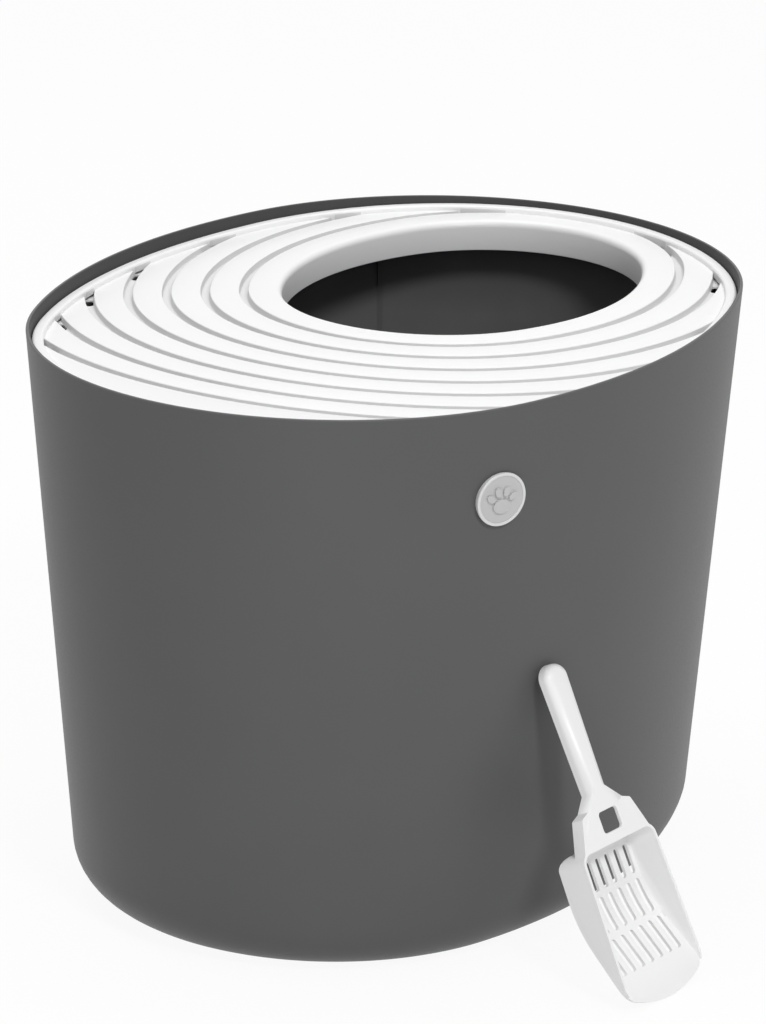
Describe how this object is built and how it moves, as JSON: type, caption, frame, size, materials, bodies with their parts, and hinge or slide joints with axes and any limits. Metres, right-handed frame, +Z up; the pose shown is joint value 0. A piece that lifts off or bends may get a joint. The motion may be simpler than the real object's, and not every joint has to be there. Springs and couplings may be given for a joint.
{
  "type": "top-entry litter box",
  "caption": "Oval top-entry litter box: tapered grey tub, white drop-in lid with drained grooves round an entry hole, badge, rubber feet and a slotted scoop leaning on the wall.",
  "frame": {"origin": "on the floor, under the middle of the tub's base; the flat ring of the base, which the base_ring mount names, lies 1 mm above it, because the rubber feet stand 1 mm proud", "axes": "+X along the long axis of the oval towards the entry hole, +Z up"},
  "size_m": [0.5198, 0.4798, 0.37],
  "materials": {
    "dark_grey_plastic": "fine satin moulded grain",
    "white_plastic": "semi-gloss moulded",
    "badge_plastic": "satin pale grey",
    "foam_pad": "white foam",
    "foot_rubber": "matt"
  },
  "bodies": {
    "base_body": {"tub": "dark_grey_plastic", "badge": "badge_plastic", "badge_adhesive_pad": "foam_pad", "rubber_foot_front_left": "foot_rubber", "rubber_foot_front_right": "foot_rubber", "rubber_foot_rear_left": "foot_rubber", "rubber_foot_rear_right": "foot_rubber"},
    "lid_body": {"lid": "white_plastic"},
    "scoop_body": {"scoop": "white_plastic"}
  },
  "joints": [
    {"name": "lid_lift", "type": "slide", "parent": "base_body", "child": "lid_body", "axis": [0, 0, 1], "range_m": [0, 0.12]},
    {"name": "scoop_pick_up", "type": "slide", "parent": "base_body", "child": "scoop_body", "axis": [-0.092, -0.7011, 0.7071], "range_m": [0, 0.15]}
  ]
}
